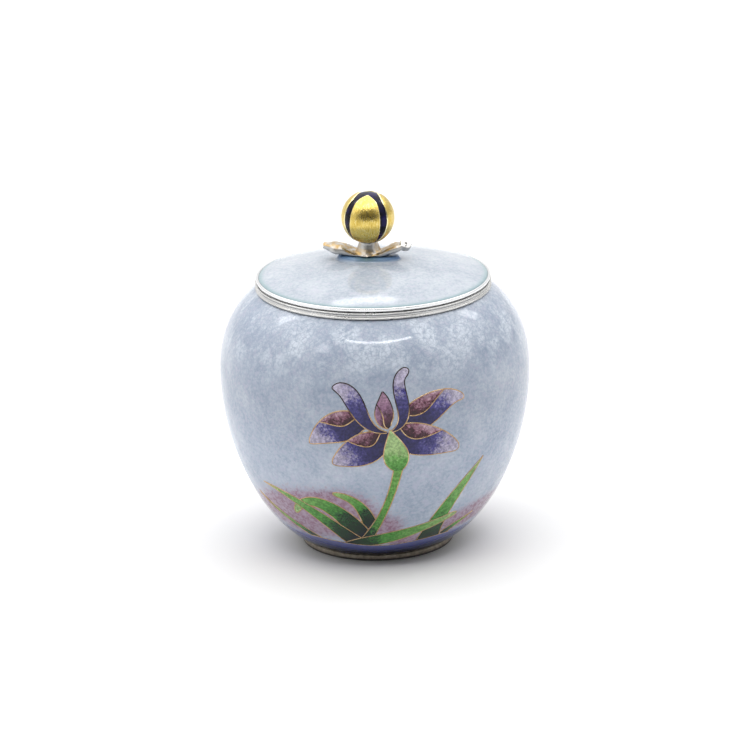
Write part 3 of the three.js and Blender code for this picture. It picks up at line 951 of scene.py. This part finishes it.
def flower():
    """The cells, each its own piece, and all their wires and the hoop in one."""
    verts, faces, painted_dark_reflection = [], [], []
    for layer, shape in enumerate(SHAPES):
        t = shape.stations()
        grid = np.stack([shape.spot(t, side) for side in CELL_SIDES], axis=1)
        cell_piece(shape.name, grid, shape.shade(t, CELL_SIDES), layer, shape.kind)
        lines = [shape.edge(-1), shape.edge(1)]
        if shape.lip:
            share = shape.lip_shares()
            grid = np.stack([shape.lip_spots(share, depth) for depth in LIP_DEPTHS], axis=1)
            along = (share[:, None] + (1 - LIP_DEPTHS)[None, :]).reshape(-1) / 2
            kind = "lip" if shape.kind == "petal" else "bud"
            cell_piece(shape.name + "_lip", grid, along, layer + 0.5, kind)
            lines.append(shape.lip_spots(share, 1.0))
        for line in lines:
            for run in visible_runs(line, layer):
                wire_tube(run, WIRE_HALF_WIDTH, verts, faces)
                # Painted dark reflection on the high wires of the marked cells.
                painted_dark = smoothstep(run[:, 1], *DARK_REFLECTION_UP) * (shape.name in DARK_REFLECTING_SHAPES)
                painted_dark_reflection.extend(np.repeat(painted_dark, WIRE_SIDES))
    across = np.linspace(HOOP_LEFT, HOOP_RIGHT, 160)
    hoop = np.stack([across, hoop_up(across)], axis=1)
    wire_tube(hoop, HOOP_WIRE * WIRE_HALF_WIDTH, verts, faces)
    painted_dark_reflection.extend([0.0] * (len(verts) - len(painted_dark_reflection)))
    wires = make_object("cloison_wires", verts, faces, "wire")
    set_attribute(wires, "painted_dark_reflection", painted_dark_reflection)


# ---- the finial

BALL_LEAN = math.radians(3.5)  # the ball sits a little askew on its neck


def lean(piece):
    """Tips a piece of the ball about the ball's centre."""
    centre = Vector((0, 0, BALL_CENTRE * MM))
    tip = Matrix.Rotation(BALL_LEAN, 4, "Y")
    piece.data.transform(Matrix.Translation(centre) @ tip @ Matrix.Translation(-centre))


def in_finial(piece):
    """Moves a piece that was made about the finial's axis to its place on the lid."""
    turn = Matrix.Rotation(FINIAL_TURN, 4, "Z")
    piece.data.transform(Matrix.Translation((FINIAL_X * MM, 0, 0)) @ turn)
    piece.data.update()


PAD_SEGMENTS = 96
# The pad's side as insets and heights from its top, up from its concave foot.
PAD_SIDE = [(-1.3, -2.0), (-0.75, -1.52), (-0.38, -1.26), (-0.14, -1.0), (0.0, -0.74),
            (0.12, -0.5), (0.32, -0.27), (0.6, -0.09), (1.0, 0.0)]
PAD_FOOT_TINT = 0.75  # how far above the lid the pad is paler


def finial_pad():
    """The oval enamelled pad under the branch."""
    rings = [(PAD_HALF_LENGTH - inset, PAD_HALF_WIDTH - inset, PAD_TOP + level)
             for inset, level in PAD_SIDE]
    for share in (0.8, 0.6, 0.4, 0.2):
        rings.append((PAD_HALF_LENGTH * share, PAD_HALF_WIDTH * share, PAD_TOP))
    verts = [(length * x, width * y, height) for length, width, height in rings
             for x, y in circle(PAD_SEGMENTS)]
    faces = tube_faces(0, len(rings), PAD_SEGMENTS)
    piece = make_object("finial_pad", verts, faces, "pad")
    set_attribute(piece, "along", [(x / PAD_HALF_LENGTH + 1) / 2 for x, y, z in verts])
    clear = [z - dome_height(math.hypot(x, y)) for x, y, z in verts]
    set_attribute(piece, "foot", 1 - smoothstep(clear, 0.0, PAD_FOOT_TINT))
    in_finial(piece)


BRANCH_FLAT = 3.5
BRANCH_HALF_WIDTH = 3.8
BRANCH_THICKNESS = 1.2
BRANCH_STATIONS = 70
BRANCH_SIDES = 32
BRANCH_SQUARENESS = 0.6
# An arm rises from the flat middle, thickens over one share of its reach and narrows to its end
# over another.
LEFT_ARM = dict(reach=14.6, rise=1.2, bend=1.8, thickness=2.9, end=0.34, thickens=(0.25, 0.6),
                closes=(0.72, 1))
RIGHT_ARM = dict(reach=12.4, rise=2.2, bend=1.1, thickness=2.4, end=0.5, thickens=(0.25, 0.65),
                 closes=(0.66, 1))
CUT_CENTRE = Vector((12.2, -0.8, 99.35))
CUT_FACING = Vector((0.37, -0.51, 0.77)).normalized()
CUT_RADIUS = 1.9
CUT_DEPTH = 2.0
BORE_RADIUS = 0.42
BORE_FLOOR_RADIUS = 0.18
BORE_DEPTH = 0.9
NECK_RADIUS_TOP = 3.1
NECK_FLARE = 1.7
NECK_FOOT = 95.7
NECK_END = NECK_TOP + 0.35  # the neck reaches this far into the ball
CAST_VOXEL = 0.17
HAMMER_DEPTH = 0.2
HAMMER_SIZE = 2.4


def squared(value):
    return math.copysign(abs(value) ** BRANCH_SQUARENESS, value)


def branch_arms():
    """Both arms as one tube of squared ovals, from the left end to the right."""
    verts = []
    for i in range(BRANCH_STATIONS + 1):
        x = -LEFT_ARM["reach"] + (LEFT_ARM["reach"] + RIGHT_ARM["reach"]) * i / BRANCH_STATIONS
        arm = LEFT_ARM if x < 0 else RIGHT_ARM
        out = abs(x) / arm["reach"]
        flat = BRANCH_FLAT / arm["reach"]
        lift = (max(0.0, out - flat) / (1 - flat)) ** arm["bend"]
        thickened = float(smoothstep(out, *arm["thickens"]))
        full = BRANCH_THICKNESS + (arm["thickness"] - BRANCH_THICKNESS) * thickened
        size = 1 + (arm["end"] - 1) * float(smoothstep(out, *arm["closes"]))
        middle = PAD_TOP + arm["rise"] * lift + full / 2
        for aside, upward in circle(BRANCH_SIDES, 0.5):
            wide = BRANCH_HALF_WIDTH * size * squared(aside)
            tall = full / 2 * math.sqrt(size) * squared(upward)
            verts.append((x, wide, middle + tall))
    return verts, tube_faces(0, BRANCH_STATIONS + 1, BRANCH_SIDES)


def finial_branch():
    """The cast branch: arms, neck and cut end fused by a fine remesh, then softly hammered."""
    verts, faces = branch_arms()
    neck = [(0.0, NECK_FOOT)]
    for t in np.linspace(0, 1, 14):
        radius = NECK_RADIUS_TOP + NECK_FLARE * (1 - t) ** 2
        neck.append((radius, NECK_FOOT + (NECK_END - NECK_FOOT) * t))
    neck.append((0.0, NECK_END))
    rod = [(0.0, -CUT_DEPTH), (CUT_RADIUS - 0.2, -CUT_DEPTH), (CUT_RADIUS, -CUT_DEPTH + 0.2),
           (CUT_RADIUS, -0.1), (CUT_RADIUS - 0.12, 0.0), (0.0, 0.0)]
    turn = CUT_FACING.to_track_quat("Z", "Y").to_matrix()
    for profile in (neck, rod):
        more, more_faces = turned(profile, 48)
        if profile is rod:
            more = [turn @ Vector(spot) + CUT_CENTRE for spot in more]
        faces += [tuple(len(verts) + i for i in face) for face in more_faces]
        verts += more
    piece = make_object("finial_branch_cast", verts, faces, "twig")
    remesh = piece.modifiers.new("fuse", "REMESH")
    remesh.mode = "VOXEL"
    remesh.voxel_size = CAST_VOXEL * MM
    soften = piece.modifiers.new("soften", "SMOOTH")
    soften.factor = 0.5
    soften.iterations = 5
    bake_modifiers(piece)
    hammer(piece)
    bore(piece)
    mark_painted_gold_reflection(piece)
    in_finial(piece)
    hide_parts("finial_branch")


def bake_modifiers(piece):
    """Replaces a piece's mesh by its evaluated one."""
    graph = bpy.context.evaluated_depsgraph_get()
    graph.update()
    made = bpy.data.meshes.new_from_object(piece.evaluated_get(graph))
    made.name = piece.name
    made.materials.clear()
    for material in piece.data.materials:
        made.materials.append(material)
    piece.modifiers.clear()
    piece.data = made
    make_smooth(made)


def hammer(piece):
    """Moves the surface in and out in soft facets, but not at the cut face or under the ball."""
    mesh = piece.data
    moved = []
    for vertex in mesh.vertices:
        place = vertex.co / MM
        from_cut = place - CUT_CENTRE
        near_cut = from_cut.dot(CUT_FACING) > -0.35 and from_cut.length < CUT_RADIUS + 0.4
        swing = noise.noise(place / HAMMER_SIZE) + 0.4 * noise.noise(place / HAMMER_SIZE * 2.3)
        keep = 0.0 if near_cut else float(smoothstep(NECK_TOP - place.z, 0.1, 0.8))
        moved.append(vertex.co + vertex.normal * (swing * HAMMER_DEPTH * keep * MM))
    for vertex, place in zip(mesh.vertices, moved):
        vertex.co = place
    mesh.update()


def bore(piece):
    """The small hole at the middle of the cut end."""
    for vertex in piece.data.vertices:
        place = vertex.co / MM - CUT_CENTRE
        level = place.dot(CUT_FACING)
        away = (place - CUT_FACING * level).length
        if level > -0.5 and away < BORE_RADIUS:
            share = 1 - float(smoothstep(away, BORE_FLOOR_RADIUS, BORE_RADIUS))
            vertex.co -= CUT_FACING * (BORE_DEPTH * MM * share)
    piece.data.update()


def mark_painted_gold_reflection(piece):
    """Marks where a painted reflection of the gold ball goes: where the branch faces up, away from the
    cut end and the neck's foot.
    """
    painted_gold_reflection = []
    for vertex in piece.data.vertices:
        place = vertex.co / MM
        up = float(smoothstep(vertex.normal.z, 0.15, 0.6))
        clear = float(smoothstep((place - CUT_CENTRE).length, CUT_RADIUS + 0.3, CUT_RADIUS + 1.0))
        low = 1 - float(smoothstep(place.z, NECK_FOOT + 1.6, NECK_FOOT + 3.2))
        painted_gold_reflection.append(up * clear * (low if abs(place.x) < 4 else 1.0))
    set_attribute(piece, "painted_gold_reflection", painted_gold_reflection)


PANEL_COUNT = 4
PANEL_ROWS = 72
PANEL_COLUMNS = 40
PANEL_INNER_RADIUS = 8.35
PANEL_BACK = PANEL_INNER_RADIUS - 0.25  # sunk into the ball
PANEL_RADIUS = 8.54
PANEL_HALF_ANGLE = math.radians(35.5)
PANEL_TIP = math.radians(17.8)
PANEL_SHOULDER = math.radians(60)
PANEL_START = PANEL_TIP + math.radians(0.5)  # the tip is blunted
PANEL_FOOT = math.radians(150)
PANEL_ARCH_POWER = 3.6
PANEL_FLARE = 0.075  # how fast a panel widens below the ball's middle
PANEL_BEVEL = 0.22


def panel_half_angle(from_top):
    if from_top >= PANEL_SHOULDER:
        return PANEL_HALF_ANGLE + PANEL_FLARE * max(0.0, from_top - math.pi / 2)
    below = (PANEL_SHOULDER - from_top) / (PANEL_SHOULDER - PANEL_TIP)
    return PANEL_HALF_ANGLE * (1 - below ** PANEL_ARCH_POWER)


def finial_ball():
    flat = math.acos((NECK_TOP - BALL_CENTRE) / BALL_RADIUS)
    profile = [(0.0, NECK_TOP)]
    for from_top in np.linspace(flat, 0, 64)[:-1]:
        height = BALL_CENTRE + BALL_RADIUS * math.cos(from_top)
        profile.append((BALL_RADIUS * math.sin(from_top), height))
    profile.append((0.0, BALL_CENTRE + BALL_RADIUS))
    piece = turned_piece("finial_ball_enamel", profile, 128, "navy")
    lean(piece)
    in_finial(piece)
    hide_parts("finial_ball")


def panel_grid():
    """A panel's front and back grids, and how far each point is from the panel's edge."""
    verts, rims = [], []
    for layer in ("front", "back"):
        for c in range(PANEL_COLUMNS + 1):
            for r in range(PANEL_ROWS + 1):
                from_top = PANEL_START + (PANEL_FOOT - PANEL_START) * (r / PANEL_ROWS) ** 1.25
                half = panel_half_angle(from_top)
                turn = half * (2 * c / PANEL_COLUMNS - 1)
                level = math.sin(from_top)
                ends = min(PANEL_FOOT - from_top, (from_top - PANEL_START) * 0.6)
                edge = min((half - abs(turn)) * level, ends) * PANEL_RADIUS
                rounding = 1 - math.sqrt(1 - (1 - min(1.0, edge / PANEL_BEVEL)) ** 2)
                radius = PANEL_RADIUS - (PANEL_RADIUS - PANEL_INNER_RADIUS) * 0.75 * rounding
                if layer == "back":
                    radius = PANEL_BACK
                verts.append((radius * level * math.sin(turn), -radius * level * math.cos(turn),
                              BALL_CENTRE + radius * math.cos(from_top)))
                rims.append(edge)
    return verts, rims


def gold_panel(number):
    """One gold-plated panel over the ball, with a polished, rounded edge."""
    verts, rims = panel_grid()
    faces = sheet_faces(PANEL_COLUMNS + 1, PANEL_ROWS + 1)
    piece = make_object(f"gold_panel_{number}_plate", verts, faces, "gold")
    piece.data.materials.append(MATERIALS["gold_edge"])
    for polygon in piece.data.polygons:
        if min(rims[i] for i in polygon.vertices) < 0.8 * PANEL_BEVEL:
            polygon.material_index = 1
    tidy(piece)
    piece.data.transform(Matrix.Rotation(TAU * (number - 1) / PANEL_COUNT, 4, "Z"))
    lean(piece)
    in_finial(piece)
    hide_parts(f"gold_panel_{number}")


# ---- studio

CAMERA_ELEVATION = math.radians(18)
CAMERA_DISTANCE = 1.5
CAMERA_AIM = Vector((0, 0, 0.05465))
CAMERA_ROLL = math.radians(-1.1)
CAMERA_LENS = 223.85
FLOOR_HALF_SIZE = 6.0
FLOOR_DROP = 0.00002


def make_camera():
    data = bpy.data.cameras.new("camera")
    data.lens = CAMERA_LENS
    data.sensor_width = 36
    camera = link("camera", data)
    back = Vector((0, -math.cos(CAMERA_ELEVATION), math.sin(CAMERA_ELEVATION)))
    camera.location = CAMERA_AIM + back * CAMERA_DISTANCE
    camera.rotation_mode = "QUATERNION"
    facing = (-back).to_track_quat("-Z", "Y")
    camera.rotation_quaternion = facing @ Matrix.Rotation(CAMERA_ROLL, 3, "Z").to_quaternion()
    bpy.context.scene.camera = camera


def make_floor():
    shader = Shader("floor")
    tone = shader.mix(shader.noise(60.0), (0.69, 0.69, 0.693, 1), (0.71, 0.71, 0.713, 1))
    shader.set(Base_Color=tone, Roughness=0.9, Specular_IOR_Level=0.0)
    mesh = bpy.data.meshes.new("floor")
    half = FLOOR_HALF_SIZE
    corners = [(-half, -half, 0), (half, -half, 0), (half, half, 0), (-half, half, 0)]
    mesh.from_pydata(corners, [], [(0, 1, 2, 3)])
    mesh.materials.append(shader.material)
    floor = link("floor", mesh)
    floor.location.z = -FLOOR_DROP


TENT = 1.0  # brightness of the white tent low down, and overhead
TENT_TOP = 2.45
TENT_RIGHT = 0.68  # share of it that is left low on the right
TENT_TINT = (1.0, 0.995, 0.985, 1)
FRONT_DARK = 0.06  # share of it that is left in the tent's open front
FRONT_HALF_WIDTH = 50  # degrees
FRONT_TOP = 54
FRONT_SOFT = 7
LAMP_SOFT = 1.0
# Lamps behind the cloth: azimuth from the front, elevation, half width and half height in
# degrees, brightness.
LAMPS = [
    (6, 60, 42, 1.1, 17.0),
    (-50, 45, 7, 5, 4.5),
    (-116, 46, 5, 6, 5.0),
    (121, 40, 5, 6, 5.0),
    (-177.5, 48, 8, 1.8, 6.0),
]


def make_world():
    """A white tent, brighter overhead, with lamps in it and an open front onto a dark room."""
    world = bpy.data.worlds.new("tent")
    bpy.context.scene.world = world
    world.use_nodes = True
    nodes = Nodes(world.node_tree)
    output = world.node_tree.nodes.new("ShaderNodeOutputWorld")
    direction = nodes.make("ShaderNodeTexCoord", {}, "Generated")
    x, y, z = (nodes.part(direction, axis) for axis in "XYZ")
    elevation = nodes.math("ARCSINE", z)

    def window(azimuth, level, half_width, half_height, soft):
        """1 inside a soft-edged window centred on a direction, 0 outside it."""
        turn = math.radians(azimuth)
        beside = nodes.plus(nodes.times(x, math.cos(turn)), nodes.times(y, math.sin(turn)))
        ahead = nodes.plus(nodes.times(x, math.sin(turn)), nodes.times(y, -math.cos(turn)))
        aside = nodes.math("ABSOLUTE", nodes.math("ARCTAN2", beside, ahead))
        above = nodes.math("ABSOLUTE", nodes.minus(elevation, math.radians(level)))
        shares = [nodes.spread(away, math.radians(half - soft), math.radians(half + soft), 1.0, 0.0)
                  for away, half in ((aside, half_width), (above, half_height))]
        return nodes.times(*shares)

    tent = nodes.spread(elevation, math.radians(8), math.radians(58), TENT, TENT_TOP)
    low = nodes.spread(elevation, math.radians(25), math.radians(50), 1.0, 0.0)
    right = nodes.times(nodes.spread(x, 0.1, 0.9, 0.0, 1 - TENT_RIGHT), low)
    tent = nodes.times(tent, nodes.minus(1.0, right))
    front = window(0, 0, FRONT_HALF_WIDTH, FRONT_TOP, FRONT_SOFT)
    strength = nodes.times(tent, nodes.minus(1.0, nodes.times(front, 1 - FRONT_DARK)))
    for *place_and_size, brightness in LAMPS:
        lamp = window(*place_and_size, LAMP_SOFT)
        strength = nodes.plus(strength, nodes.times(lamp, brightness))
    light = nodes.make("ShaderNodeBackground", {"Color": TENT_TINT, "Strength": strength})
    nodes.feed(output.inputs["Surface"], light)


# ---- build

bpy.context.scene.view_settings.view_transform = "Standard"
make_camera()
make_world()
make_floor()

jar_shell()
foot_ring()
mouth_collar()
lid_rim()
lid_dome()
flower()
finial_pad()
finial_branch()
finial_ball()
for number in range(1, PANEL_COUNT + 1):
    gold_panel(number)
